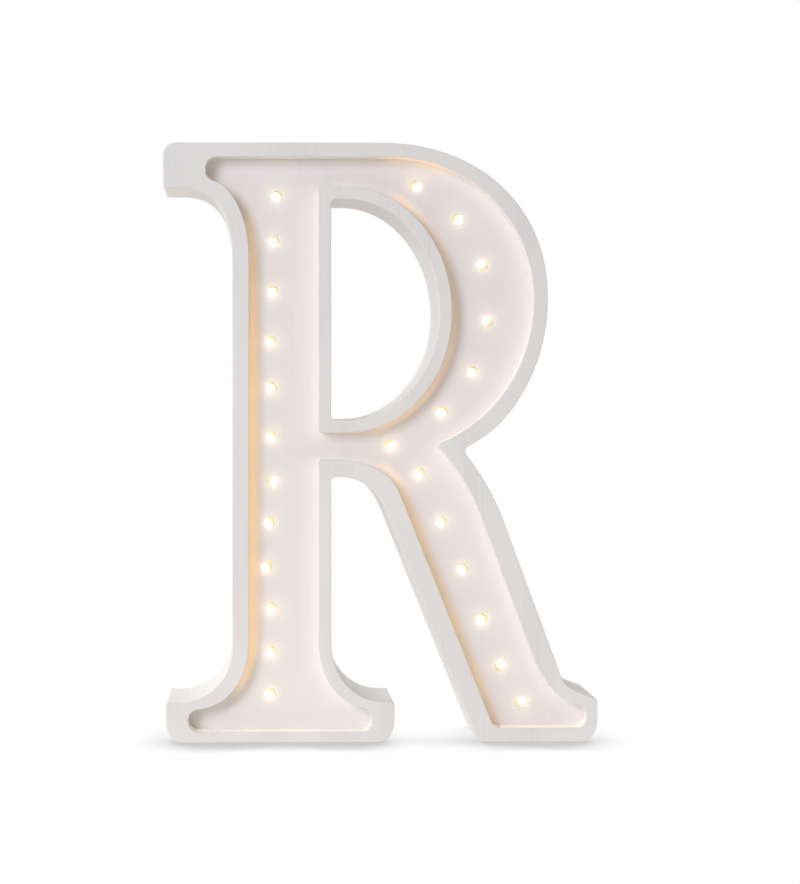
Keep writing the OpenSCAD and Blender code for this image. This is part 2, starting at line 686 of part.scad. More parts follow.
module back_panel() {
    under = panel_front - cut;
    over = panel_back + cut;
    off_core_d = mark_d - 2 * mark_line;
    color("linen") difference() {
        slab(panel_front, panel_back) ledge_2d(panel_gap);
        for (s = screw_spots) screw_hole(s, screw_d, screw_head_d);
        for (s = box_screw_spots) screw_hole(s, screw_d, screw_head_d);
        for (s = bolt_spots) screw_hole(s, bolt_d, bolt_head_d);
        for (s = keyhole_spots) {
            rod(s, under, over, keyhole_d, keyhole_d);
            rod(s + [0, keyhole_rise], under, over, keyhole_slot, keyhole_slot);
            block(s + [0, keyhole_rise / 2], [keyhole_slot, keyhole_rise], under, over);
        }
        block([stem_mid, box_z], [box_w + 2 * box_gap, box_l + 2 * box_gap], under, over);
        block([switch_x, switch_z], [slot_w + 2 * slot_gap, slot_l + 2 * slot_gap], under, over);
        block(on_mark, [mark_line, mark_d], panel_back - mark_depth, over);
        difference() {
            rod(off_mark, panel_back - mark_depth, over, mark_d, mark_d);
            rod(off_mark, under, over + cut, off_core_d, off_core_d);
        }
    }
}

module panel_screws() {
    color("silver") for (s = screw_spots) screw(s, panel_back, screw_d, screw_head_d, screw_l);
}

module lamp_lenses() {
    dome = lens_d / 2;
    color("moccasin") for (s = lamp_spots)
        translate([s[0], floor_back + flange_t, s[1]]) rotate([90, 0, 0]) rotate_extrude()
            polygon(concat([[0, 0], [flange_d / 2, 0], [flange_d / 2, flange_t], [dome, flange_t]],
                arc_points([0, flange_t + lens_l - dome], [dome, dome], 0, 90, corner_steps)));
}

module lamp_sleeves() {
    collar_l = 3;
    tail_d = sleeve_d - 2;
    socket_d = flange_d + 2 * socket_gap;
    color("ivory") for (s = lamp_spots) difference() {
        union() {
            rod(s, floor_back, floor_back + collar_l, sleeve_d, sleeve_d);
            rod(s, floor_back + collar_l, sleeve_tail, tail_d, tail_d);
        }
        rod(s, floor_back - cut, floor_back + flange_t, socket_d, socket_d);
    }
}

module string_wire_positive() {
    color("firebrick") wire(side_points(string_route, -wire_pitch / 2), wire_d, 8, [0, 1, 0]);
}

module string_wire_negative() {
    color("dimgray") wire(side_points(string_route, wire_pitch / 2), wire_d, 8, [0, 1, 0]);
}

module battery_box() {
    flange = [box_w + 2 * box_flange, box_l + 2 * box_flange];
    color("gainsboro") difference() {
        union() {
            block([stem_mid, box_z], [box_w, box_l], box_front, panel_back);
            block([stem_mid, box_z], flange, panel_front - box_flange_t, panel_front);
            block([stem_mid, box_z], [ear_w, box_l + 2 * ear_l], panel_front - ear_t, panel_front);
        }
        block([stem_mid, box_z], [box_in_w, box_in_l], box_floor, panel_back + cut);
        for (s = box_screw_spots) rod(s, panel_front - ear_t - cut, panel_front + cut, pilot_d, pilot_d);
        for (s = [-1, 1])
            block([stem_mid + s * cell_pitch / 2, box_top], [tab_w + 2 * tab_gap, 2 * box_wall + 2 * cut],
                tab_y - plate_t / 2 - tab_gap, tab_y + plate_t / 2 + tab_gap);
        translate([stem_mid - box_w / 2 - cut, pin_y, pin_z]) rotate([0, 90, 0])
            cylinder(h = box_w + 2 * cut, d = pin_d + 2 * pin_gap);
    }
}

module box_screws() {
    color("silver") for (s = box_screw_spots) screw(s, panel_back, screw_d, screw_head_d, box_screw_l);
}

module battery_door() {
    rib_w = 0.45 * door_w;
    rib_t = 0.9;
    rib_h = 0.5;
    rib_pitch = 2.4;
    nib_w = 8;
    nib_h = 0.6;
    door_low = box_low + door_gap;
    color("gainsboro") union() {
        translate([stem_mid - door_w / 2, door_front, door_low]) cube([door_w, door_t, pin_z - door_low]);
        translate([stem_mid - door_w / 2, pin_y, pin_z]) rotate([0, 90, 0]) cylinder(h = door_w, d = door_t);
        translate([stem_mid - door_w / 2 - pin_l, pin_y, pin_z]) rotate([0, 90, 0])
            cylinder(h = door_w + 2 * pin_l, d = pin_d);
        for (i = [1 : 4])
            block([stem_mid, door_low + i * rib_pitch], [rib_w, rib_t], door_back - rib_h, door_back + rib_h);
        block([stem_mid, door_low], [nib_w, door_gap], door_front, door_front + nib_h);
    }
}

// A cell standing along Z, nub up for 1 and nub down for -1
module cell(x, up) {
    low = up > 0 ? box_top - plate_t - cell_total : box_low + plate_t + nub_h;
    nub_z = up > 0 ? low + cell_l : low - nub_h;
    translate([x, cell_y, low]) cylinder(h = cell_l, d = cell_d);
    translate([x, cell_y, nub_z]) cylinder(h = nub_h, d = nub_d);
}

module cell_left() {
    color("slategray") cell(stem_mid - cell_pitch / 2, 1);
}

module cell_right() {
    color("slategray") cell(stem_mid + cell_pitch / 2, -1);
}

// A contact plate inside the box's upper end, with its solder tab through the wall
module upper_plate(x) {
    translate([x - plate_w / 2, cell_y - plate_w / 2, box_top - plate_t]) cube([plate_w, plate_w, plate_t]);
    translate([x - tab_w / 2, tab_y - plate_t / 2, box_top - plate_t / 2]) cube([tab_w, plate_t, tab_l]);
}

module positive_plate() {
    color("silver") upper_plate(stem_mid - cell_pitch / 2);
}

module negative_plate() {
    color("silver") upper_plate(stem_mid + cell_pitch / 2);
}

module bridge_plate() {
    color("silver") translate([stem_mid - (cell_pitch + plate_w) / 2, cell_y - plate_w / 2, box_low])
        cube([cell_pitch + plate_w, plate_w, plate_t]);
}

// Conical contact spring: from its plate's side at z0 to its cell's side at z1
spring_turns = 3;
spring_rings = 8 * spring_turns;
spring_seat = 0.15;
spring_tip = 0.62;
function spring_points(x, z0, z1) =
    let (way = z1 > z0 ? 1 : -1, rest = spring_seat + spring_wire / 2)
    [for (i = [0 : spring_rings])
        let (share = i / spring_rings, r = (spring_d - spring_wire) / 2 * mix(1, spring_tip, share))
        [x + r * cos(360 * spring_turns * share), cell_y + r * sin(360 * spring_turns * share),
            mix(z0 + way * rest, z1 - way * rest, share)]];
lower_spring = spring_points(stem_mid - cell_pitch / 2, box_low + plate_t, box_low + plate_t + spring_l);
upper_spring = spring_points(stem_mid + cell_pitch / 2, box_top - plate_t, box_top - plate_t - spring_l);
echo(spring_least_gap = min([for (i = [0 : spring_rings]) for (k = [i + 6 : 1 : spring_rings])
    norm(lower_spring[i] - lower_spring[k])]) - spring_wire);

module contact_springs() {
    color("silver") {
        wire(lower_spring, spring_wire, 6, [0, 0, 1]);
        wire(upper_spring, spring_wire, 6, [0, 0, 1]);
    }
}

// Leads from the box's tabs to the front of the circuit board. A lead lies against its
// tab, bows forward past the board's lower edge and ends on its pad.
lead_seat = 0.1;
lead_hold = 2.5;
lead_bow = 1.2;
pad_inset = 2;
module lead(side) {
    tab_x = stem_mid + side * cell_pitch / 2;
    tab_side = tab_y - plate_t / 2 - wire_d / 2 - lead_seat;
    tab_top = box_top - plate_t / 2 + tab_l;
    pad_x = switch_x + side * (board_w / 2 - pad_inset);
    pad_y = board_front - wire_d / 2 - lead_seat;
    board_low = switch_z - board_l / 2;
    wire([[tab_x, tab_side, tab_top - lead_hold],
        [tab_x, tab_side, tab_top],
        [mix(tab_x, pad_x, 0.4), mix(tab_side, pad_y, 0.7), mix(tab_top, board_low, 0.5)],
        [pad_x, pad_y - lead_bow, board_low - pad_inset],
        [pad_x, pad_y, board_low + pad_inset],
        [pad_x, pad_y, board_low + pad_inset + lead_hold]], wire_d, 8, [1, 0, 0]);
}

module lead_red() {
    color("red") lead(-1);
}

module lead_black() {
    color("black") lead(1);
}

module switch_housing() {
    inner = [can_w - 2 * can_wall, can_l - 2 * can_wall];
    color("silver") difference() {
        union() {
            block([switch_x, switch_z], [can_w, plate_l], can_back, panel_front);
            block([switch_x, switch_z], [can_w, can_l], can_front, panel_front);
        }
        block([switch_x, switch_z], inner, can_front - cut, can_back);
        block([switch_x, switch_z], [slot_w, slot_l], can_back - cut, panel_front + cut);
        for (s = bolt_spots) rod(s, can_back - cut, panel_front + cut, bolt_hole_d, bolt_hole_d);
    }
}

module switch_base() {
    size = [can_w - 2 * can_wall - 2 * terminal_gap, can_l - 2 * can_wall - 2 * terminal_gap];
    color("saddlebrown") difference() {
        block([switch_x, switch_z], size, can_front, base_back);
        for (s = terminal_spots) rod(s, can_front - cut, base_back + cut, terminal_hole_d, terminal_hole_d);
    }
}

module switch_terminals() {
    color("gold") for (s = terminal_spots) rod(s, base_back - terminal_l, base_back, terminal_d, terminal_d);
}

module switch_slider() {
    color("dimgray") union() {
        block([switch_x, slider_z], [slider_w, slider_l], slider_front, slider_back);
        block([switch_x, slider_z], [knob_w, knob_w], slider_back - cut / 2, knob_tip);
    }
}

module switch_wiper() {
    foot_y = base_back + switch_gap;
    color("gold") union() {
        block([switch_x, slider_z], [slider_w - 2, slider_l - 1], slider_front - wiper_t, slider_front);
        for (s = [-1, 1])
            rod([switch_x, slider_z + s * terminal_pitch / 2], foot_y, slider_front - wiper_t / 2,
                wiper_foot_d, wiper_foot_d);
    }
}

module switch_screws() {
    color("silver") for (s = bolt_spots) screw(s, panel_back, bolt_d, bolt_head_d, bolt_l);
}

module switch_nuts() {
    color("silver") for (s = bolt_spots) difference() {
        translate([s[0], can_back, s[1]]) rotate([90, 30, 0])
            cylinder(h = nut_t, d = nut_w / cos(30), $fn = 6);
        rod(s, can_back - nut_t - cut, can_back + cut, bolt_hole_d, bolt_hole_d);
    }
}

module circuit_board() {
    color("seagreen") difference() {
        block([switch_x, switch_z], [board_w, board_l], board_front, board_back);
        for (s = terminal_spots)
            rod(s, board_front - cut, board_back + cut, terminal_hole_d, terminal_hole_d);
    }
}

module resistor() {
    low = switch_z - resistor_span / 2;
    high = switch_z + resistor_span / 2;
    bend = resistor_lead_d;
    color("tan") union() {
        translate([resistor_x, resistor_y, switch_z - resistor_l / 2])
            cylinder(h = resistor_l, d = resistor_d);
        wire([[resistor_x, board_front, low], [resistor_x, resistor_y + bend, low],
            [resistor_x, resistor_y, low + bend], [resistor_x, resistor_y, high - bend],
            [resistor_x, resistor_y + bend, high], [resistor_x, board_front, high]],
            resistor_lead_d, 8, [1, 0, 0]);
    }
}

// Short wires from the board to the two string wires in front of it
jumper_rise = 5;
jumper_end = 2;
string_x = lookup(switch_z, [for (s = stem_lamps) [s[1], s[0]]]);
module jumper_wires() {
    color("firebrick") for (s = [-1, 1]) {
        z = switch_z + s * jumper_rise;
        pad_x = switch_x - board_w / 2 + pad_inset;
        x = string_x + s * wire_pitch / 2;
        y = wire_y + wire_d / 2 + wire_gap;
        wire([[pad_x, board_front, z], [pad_x, board_front - jumper_end, z],
            [x, y + jumper_end, z], [x, y, z]], wire_d, 8, [0, 0, 1]);
    }
}

letter_body();
back_panel();
panel_screws();
lamp_lenses();
lamp_sleeves();
string_wire_positive();
string_wire_negative();
battery_box();
box_screws();
battery_door();
cell_left();
cell_right();
positive_plate();
negative_plate();
bridge_plate();
contact_springs();
lead_red();
lead_black();
switch_housing();
switch_base();
switch_terminals();
switch_slider();
switch_wiper();
switch_screws();
switch_nuts();
circuit_board();
resistor();
jumper_wires();
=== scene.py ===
import math

import bmesh
import bpy
from mathutils import Matrix, Vector


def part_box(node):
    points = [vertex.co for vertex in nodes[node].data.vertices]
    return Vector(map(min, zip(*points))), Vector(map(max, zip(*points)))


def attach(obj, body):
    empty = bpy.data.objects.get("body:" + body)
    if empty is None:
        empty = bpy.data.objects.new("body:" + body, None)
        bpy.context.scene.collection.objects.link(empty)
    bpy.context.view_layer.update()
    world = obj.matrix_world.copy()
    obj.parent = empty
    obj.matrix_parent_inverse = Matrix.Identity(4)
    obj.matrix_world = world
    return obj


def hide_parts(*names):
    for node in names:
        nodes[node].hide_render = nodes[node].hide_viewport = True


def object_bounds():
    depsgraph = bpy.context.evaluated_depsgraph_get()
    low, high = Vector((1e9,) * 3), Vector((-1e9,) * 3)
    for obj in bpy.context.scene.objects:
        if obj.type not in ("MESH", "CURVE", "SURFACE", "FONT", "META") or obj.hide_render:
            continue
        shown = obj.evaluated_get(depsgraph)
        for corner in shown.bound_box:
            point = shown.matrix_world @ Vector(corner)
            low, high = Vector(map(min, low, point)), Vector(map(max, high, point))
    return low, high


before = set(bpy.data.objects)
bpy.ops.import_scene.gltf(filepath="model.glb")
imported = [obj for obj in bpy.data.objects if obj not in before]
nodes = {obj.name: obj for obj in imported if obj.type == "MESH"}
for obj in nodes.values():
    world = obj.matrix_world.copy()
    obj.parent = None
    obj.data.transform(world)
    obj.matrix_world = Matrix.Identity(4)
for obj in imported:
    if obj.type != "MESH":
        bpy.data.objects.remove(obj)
cad_low, cad_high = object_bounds()
mm = 0.001

# Levels of the frame along Y
tray_depth = 10 * mm
front_y = cad_low.y
back_y = cad_high.y
tray_floor_y = front_y + tray_depth
flange_back_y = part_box("lamp_lenses")[1].y
lens_tip_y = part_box("lamp_lenses")[0].y
floor_back_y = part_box("lamp_sleeves")[0].y

# Camera, as the photograph frames the letter: pixels of an 800 by 884 picture
picture_w = 800
picture_h = 884
focal_px = 1765
normal_px = (243, 400)
eye_away = 1.0
eye = Vector((-78 * mm, front_y - eye_away, 194 * mm))
yaw = math.radians(0.8)
sensor = 36.0

# Corners this close together are one corner
same_place = 0.001 * mm

# Values between which most of a noise lies
noise_low = 0.3
noise_high = 0.7


# Helpers for shader nodes
def new_material(name, color, roughness, metallic=0.0):
    material = bpy.data.materials.new(name)
    material.use_nodes = True
    shader = material.node_tree.nodes["Principled BSDF"]
    shader.inputs["Base Color"].default_value = (*color, 1.0)
    shader.inputs["Roughness"].default_value = roughness
    shader.inputs["Metallic"].default_value = metallic
    return material, material.node_tree, shader


def noise(tree, per_metre, detail=2.0, roughness=0.5):
    """Noise over the object's own frame, with so many cells to the metre along X, Y and Z."""
    place = tree.nodes.new("ShaderNodeTexCoord")
    spread = tree.nodes.new("ShaderNodeMapping")
    spread.inputs["Scale"].default_value = per_metre
    pattern = tree.nodes.new("ShaderNodeTexNoise")
    pattern.inputs["Scale"].default_value = 1.0
    pattern.inputs["Detail"].default_value = detail
    pattern.inputs["Roughness"].default_value = roughness
    tree.links.new(place.outputs["Object"], spread.inputs["Vector"])
    tree.links.new(spread.outputs["Vector"], pattern.inputs["Vector"])
    return pattern.outputs["Fac"]


def remap(tree, value, low, high, to_low=0.0, to_high=1.0):
    step = tree.nodes.new("ShaderNodeMapRange")
    step.inputs["From Min"].default_value = low
    step.inputs["From Max"].default_value = high
    step.inputs["To Min"].default_value = to_low
    step.inputs["To Max"].default_value = to_high
    tree.links.new(value, step.inputs["Value"])
    return step.outputs["Result"]


def maths(tree, operation, a, b):
    step = tree.nodes.new("ShaderNodeMath")
    step.operation = operation
    for socket, value in zip(step.inputs, (a, b)):
        if isinstance(value, (int, float)):
            socket.default_value = value
        else:
            tree.links.new(value, socket)
    return step.outputs["Value"]


def blend_colors(tree, share, first, second):
    step = tree.nodes.new("ShaderNodeMix")
    step.data_type = "RGBA"
    for socket, value in (("A", first), ("B", second)):
        color_socket = [s for s in step.inputs if s.name == socket and s.type == "RGBA"][0]
        color_socket.default_value = (*value, 1.0)
    tree.links.new(share, step.inputs["Factor"])
    return [s for s in step.outputs if s.type == "RGBA"][0]


def add_bump(tree, shader, height, depth, strength):
    bump = tree.nodes.new("ShaderNodeBump")
    bump.inputs["Distance"].default_value = depth
    bump.inputs["Strength"].default_value = strength
    tree.links.new(height, bump.inputs["Height"])
    tree.links.new(bump.outputs["Normal"], shader.inputs["Normal"])


# Materials
def painted_wood(name, light, dark, grain_share):
    """White paint over wood whose fine upright grain shows through in patches."""
    grain_cells = (1300, 1300, 22)
    grain_from = 0.35
    patch_cells = (34, 34, 11)
    patch_from = 0.42
    patch_to = 0.62
    cloud_cells = (18, 18, 9)
    cloud_share = 0.45
    pore_cells = (900, 900, 900)
    pore_share = 0.35
    middle_roughness = 0.55
    least_roughness = 0.5
    most_roughness = 0.62
    relief = 0.05 * mm
    relief_strength = 0.55
    material, tree, shader = new_material(name, light, middle_roughness)
    grain = noise(tree, grain_cells, detail=3.0, roughness=0.6)
    patches = remap(tree, noise(tree, patch_cells, detail=1.0), patch_from, patch_to)
    streaks = maths(tree, "MULTIPLY", remap(tree, grain, grain_from, noise_high), patches)
    clouds = remap(tree, noise(tree, cloud_cells), noise_low, noise_high, 0.0, cloud_share)
    share = maths(tree, "ADD", maths(tree, "MULTIPLY", streaks, grain_share), clouds)
    tree.links.new(blend_colors(tree, share, light, dark), shader.inputs["Base Color"])
    uneven = remap(tree, grain, noise_low, noise_high, least_roughness, most_roughness)
    tree.links.new(uneven, shader.inputs["Roughness"])
    pores = maths(tree, "MULTIPLY", noise(tree, pore_cells), pore_share)
    add_bump(tree, shader, maths(tree, "ADD", streaks, pores), relief, relief_strength)
    return material


def moulded_plastic(name, light, dark, roughness):
    """A smooth coat or plastic with a fine texture and slightly uneven colour."""
    fine_cells = (2600, 2600, 2600)
    wide_cells = (60, 60, 60)
    smoother = 0.06
    rougher = 0.08
    relief = 0.02 * mm
    relief_strength = 0.5
    material, tree, shader = new_material(name, light, roughness)
    fine = noise(tree, fine_cells)
    wide = remap(tree, noise(tree, wide_cells), noise_low, noise_high)
    tree.links.new(blend_colors(tree, wide, light, dark), shader.inputs["Base Color"])
    uneven = remap(tree, fine, noise_low, noise_high, roughness - smoother, roughness + rougher)
    tree.links.new(uneven, shader.inputs["Roughness"])
    add_bump(tree, shader, fine, relief, relief_strength)
    return material


def metal(name, light, dark, roughness, line_cells):
    """Metal with fine lines and faint stains."""
    stain_cells = (140, 140, 140)
    stain_from = 0.35
    smoother = 0.1
    rougher = 0.12
    relief = 0.01 * mm
    relief_strength = 0.5
    material, tree, shader = new_material(name, light, roughness, metallic=1.0)
    lines = noise(tree, line_cells, detail=3.0, roughness=0.6)
    stains = remap(tree, noise(tree, stain_cells), stain_from, noise_high)
    tree.links.new(blend_colors(tree, stains, light, dark), shader.inputs["Base Color"])
    uneven = remap(tree, lines, noise_low, noise_high, roughness - smoother, roughness + rougher)
    tree.links.new(uneven, shader.inputs["Roughness"])
    add_bump(tree, shader, lines, relief, relief_strength)
    return material


def lit_lens(name, amber, core, edge):
    """A lit lens: white hot over its die, golden where the dome looks past it."""
    roughness = 0.18
    edge_hotness = 0.18
    core_hotness = 0.54
    edge_strength = 0.75
    core_strength = 2.2
    sparkle_cells = (900, 900, 900)
    dimmest = 0.92
    brightest = 1.08
    material, tree, shader = new_material(name, amber, roughness)
    hotness = tree.nodes.new("ShaderNodeAttribute")
    hotness.attribute_name = "hotness"
    share = remap(tree, hotness.outputs["Fac"], edge_hotness, core_hotness)
    specks = noise(tree, sparkle_cells, detail=1.0)
    sparkle = remap(tree, specks, noise_low, noise_high, dimmest, brightest)
    tree.links.new(blend_colors(tree, share, edge, core), shader.inputs["Emission Color"])
    even = remap(tree, share, 0.0, 1.0, edge_strength, core_strength)
    tree.links.new(maths(tree, "MULTIPLY", even, sparkle), shader.inputs["Emission Strength"])
    return material


paint = painted_wood("paint_rim", (0.76, 0.752, 0.774), (0.7, 0.692, 0.714), 1.0)
# The tray's paint is a lighter, warmer copy of the rim's paint: painted light, standing for the
# lamps' warm light on the tray
lamp_lit_tray_paint = painted_wood("paint_tray_painted_lamp_light", (0.8, 0.772, 0.79), (0.765, 0.737, 0.755), 0.7)
panel_paint = moulded_plastic("paint_panel", (0.74, 0.725, 0.7), (0.69, 0.67, 0.64), 0.62)
zinc = metal("zinc", (0.66, 0.66, 0.64), (0.5, 0.5, 0.49), 0.36, (900, 900, 900))
nickel = metal("nickel", (0.72, 0.71, 0.68), (0.6, 0.59, 0.56), 0.28, (400, 1500, 400))
tin = metal("tin", (0.62, 0.63, 0.64), (0.5, 0.51, 0.52), 0.34, (200, 200, 2400))
brass = metal("brass", (0.78, 0.6, 0.27), (0.66, 0.48, 0.2), 0.27, (1200, 1200, 1200))
lens = lit_lens("lens", (0.42, 0.3, 0.07), (1.0, 0.96, 0.86), (0.84, 0.74, 0.31))
ivory = moulded_plastic("ivory", (0.78, 0.74, 0.64), (0.72, 0.68, 0.57), 0.45)
white_abs = moulded_plastic("white_abs", (0.72, 0.715, 0.7), (0.68, 0.67, 0.65), 0.48)
red_vinyl = moulded_plastic("red_vinyl", (0.42, 0.03, 0.02), (0.34, 0.02, 0.015), 0.38)
dark_vinyl = moulded_plastic("dark_vinyl", (0.02, 0.02, 0.022), (0.035, 0.035, 0.035), 0.38)
black_abs = moulded_plastic("black_abs", (0.015, 0.015, 0.017), (0.03, 0.03, 0.03), 0.42)
cell_wrap = moulded_plastic("cell_wrap", (0.12, 0.15, 0.18), (0.1, 0.125, 0.155), 0.3)
resin = moulded_plastic("resin", (0.13, 0.06, 0.025), (0.09, 0.04, 0.02), 0.5)
board = moulded_plastic("board", (0.02, 0.12, 0.045), (0.015, 0.085, 0.03), 0.35)
lacquer = moulded_plastic("lacquer", (0.55, 0.4, 0.21), (0.48, 0.34, 0.17), 0.35)


# Helpers for meshes
def to_mesh(bm, name):
    """Writes an open mesh to a new mesh with a name, and closes it."""
    mesh = bpy.data.meshes.new(name)
    bm.to_mesh(mesh)
    bm.free()
    return mesh


def finish_piece(bm, node, body, materials):
    """Closes an open mesh and links it as the piece that stands for a node of the frame."""
    name = node + "_finish"
    piece = bpy.data.objects.new(name, to_mesh(bm, name))
    bpy.context.scene.collection.objects.link(piece)
    for material in materials:
        piece.data.materials.append(material)
    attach(piece, body)
    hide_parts(node)
    return piece


def clean_copy(node):
    """A node's mesh with shared corners and no slivers, open for editing."""
    sliver = 0.01 * mm
    bm = bmesh.new()
    bm.from_mesh(nodes[node].data)
    bmesh.ops.remove_doubles(bm, verts=bm.verts, dist=same_place)
    bmesh.ops.dissolve_degenerate(bm, dist=sliver, edges=bm.edges)
    return bm


def level_rings(bm, level, outward):
    """The flat faces at a level of Y, the rings of corners round them, and each corner's wall.

    outward is -1 where those faces look forward and 1 where they look back.
    """
    near = 0.01 * mm
    facing = 0.99
    flat = []
    for face in bm.faces:
        at_level = all(abs(v.co.y - level) < near for v in face.verts)
        if at_level and face.normal.y * outward > facing:
            flat.append(face)
    inside = set(flat)
    following = {}
    wall_of = {}
    for face in flat:
        for corner in face.loops:
            walls = [f for f in corner.edge.link_faces if f not in inside]
            if walls:
                following[corner.vert] = corner.link_loop_next.vert
                wall_of[corner.vert] = walls[0]
    rings = []
    while following:
        start, vert = following.popitem()
        ring = [start]
        while vert is not start:
            ring.append(vert)
            vert = following.pop(vert)
        rings.append(ring)
    return flat, rings, wall_of


def round_level(bm, level, outward, radius, rows=3):
    """Rounds the convex edges of the flat faces that lie at a level of Y."""
    normal = Vector((0.0, outward, 0.0))
    flat, rings, wall_of = level_rings(bm, level, outward)
    goes_in = {}
    for vert, wall in wall_of.items():
        goes_in[vert] = (wall.calc_center_median().y - level) * outward < 0
    bmesh.ops.delete(bm, geom=flat, context="FACES")
    edges = []
    for ring in rings:
        count = len(ring)
        if all(goes_in[v] for v in ring):
            base = [v.co.copy() for v in ring]
            inward = []
            for i in range(count):
                before = normal.cross((base[i] - base[i - 1]).normalized())
                after = normal.cross((base[(i + 1) % count] - base[i]).normalized())
                inward.append((before + after) / (1 + before.dot(after)))
            for vert in ring:
                vert.co.y = level - outward * radius
            for k in range(1, rows + 1):
                a = math.pi / 2 * k / rows
                across = radius * (1 - math.cos(a))
                down = normal * radius * (1 - math.sin(a))
                row = [bm.verts.new(base[i] + inward[i] * across - down) for i in range(count)]
                for i in range(count):
                    j = (i + 1) % count
                    bm.faces.new((ring[i], ring[j], row[j], row[i]))
                ring = row
        for i in range(count):
            pair = (ring[i], ring[(i + 1) % count])
            edges.append(bm.edges.get(pair) or bm.edges.new(pair))
    bmesh.ops.triangle_fill(bm, use_beauty=True, use_dissolve=False, edges=edges, normal=normal)
    bmesh.ops.recalc_face_normals(bm, faces=bm.faces)


def shade(bm):
    """Smooth faces with the hard edges left sharp."""
    hard_angle = math.radians(35)
    for face in bm.faces:
        face.smooth = True
    for edge in bm.edges:
        edge.smooth = len(edge.link_faces) == 2 and edge.calc_face_angle(0.0) < hard_angle


def flatten_normals(piece):
    """Flat faces shade flat beside their rounded edges."""
    even = piece.modifiers.new("flat_faces", "WEIGHTED_NORMAL")
    even.mode = "FACE_AREA"
    even.weight = 100
    even.keep_sharp = True


def mark_edges(bm):
    """Marks the convex hard edges for rounding, and keeps the other hard edges sharp."""
    hard_angle = math.radians(28)
    weights = bm.edges.layers.float.new("bevel_weight_edge")
    for edge in bm.edges:
        if len(edge.link_faces) != 2 or edge.calc_face_angle(0.0) < hard_angle:
            continue
        edge[weights] = 1.0 if edge.is_convex else 0.0
        edge.smooth = edge.is_convex
    for face in bm.faces:
        face.smooth = True


def softened(node, body, material, width):
    """A copy of a node with its outer edges slightly rounded."""
    bm = clean_copy(node)
    mark_edges(bm)
    piece = finish_piece(bm, node, body, [material])
    bevel = piece.modifiers.new("rounding", "BEVEL")
    bevel.limit_method = "WEIGHT"
    bevel.width = width
    bevel.segments = 2
    bevel.use_clamp_overlap = False
    bevel.harden_normals = True


def islands(node):
    """The lowest and highest corner of each separate solid of a node."""
    bm = bmesh.new()
    bm.from_mesh(nodes[node].data)
    bmesh.ops.remove_doubles(bm, verts=bm.verts, dist=same_place)
    left = set(bm.verts)
    boxes = []
    while left:
        stack = [left.pop()]
        found = []
        while stack:
            vert = stack.pop()
            found.append(vert.co.copy())
            for edge in vert.link_edges:
                other = edge.other_vert(vert)
                if other in left:
                    left.remove(other)
                    stack.append(other)
        low = Vector([min(c[i] for c in found) for i in range(3)])
        high = Vector([max(c[i] for c in found) for i in range(3)])
        boxes.append((low, high))
    bm.free()
    return sorted(boxes, key=lambda b: (b[0].x, b[0].z))


def lathe(bm, centre, profile, sides):
    """Turns (radius, y) steps about the line along Y through a centre, closed at both ends."""
    rings = []
    for radius, y in profile:
        ring = []
        for k in range(sides):
            a = 2 * math.pi * k / sides
            x = centre.x + radius * math.cos(a)
            z = centre.z + radius * math.sin(a)
            ring.append(bm.verts.new((x, y, z)))
        rings.append(ring)
    for lower, upper in zip(rings, rings[1:]):
        for k in range(sides):
            j = (k + 1) % sides
            bm.faces.new((lower[k], lower[j], upper[j], upper[k]))
    bm.faces.new(rings[0][::-1])
    bm.faces.new(rings[-1])


# Letter body: painted wood with rounded edges; its tray in a lighter, warmer copy of the paint,
# which is painted light of the lamps on the tray
def letter_piece():
    front_round = 0.4 * mm
    back_round = 0.5 * mm
    hole_round = 0.35 * mm
    near = 0.05 * mm
    bm = clean_copy("letter_body")
    round_level(bm, front_y, -1, front_round)
    round_level(bm, tray_floor_y, -1, hole_round, rows=2)
    round_level(bm, back_y, 1, back_round)
    for face in bm.faces:
        deepest = max(v.co.y for v in face.verts)
        in_tray = front_y + front_round + near < deepest < tray_floor_y + near
        # Faces in the tray take the lighter, warmer copy of the paint, the painted lamp light
        face.material_index = 1 if in_tray else 0
    shade(bm)
    piece = finish_piece(bm, "letter_body", "letter", [paint, lamp_lit_tray_paint])
    flatten_normals(piece)


# Back panel: painted board with its outer edges and the rims of its holes eased
def panel_piece():
    panel_back_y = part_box("back_panel")[1].y
    edge_round = 0.3 * mm
    bm = clean_copy("back_panel")
    round_level(bm, panel_back_y, 1, edge_round, rows=2)
    shade(bm)
    piece = finish_piece(bm, "back_panel", "letter", [panel_paint])
    flatten_normals(piece)


# Lamps: the stem's row from the top down, then the others from the top down. The lean
# of a lamp is the side on which its dome looks past the die, in degrees from the right.
stem_leans = [45, 40, 50, 45, 35, 50, 180, 45, 30, 55, 45, 40]
other_leans = [135, 140, -45, -40, 45, 50, 135, 45, 40, 30, 50, 225, 215]
stem_end_x = -40 * mm


def lamp_places():
    """The centre and the lean of each lamp."""
    centres = [(low + high) / 2 for low, high in islands("lamp_lenses")]
    centres.sort(key=lambda c: (c.x > stem_end_x, -c.z))
    return list(zip(centres, stem_leans + other_leans))


lamps = lamp_places()


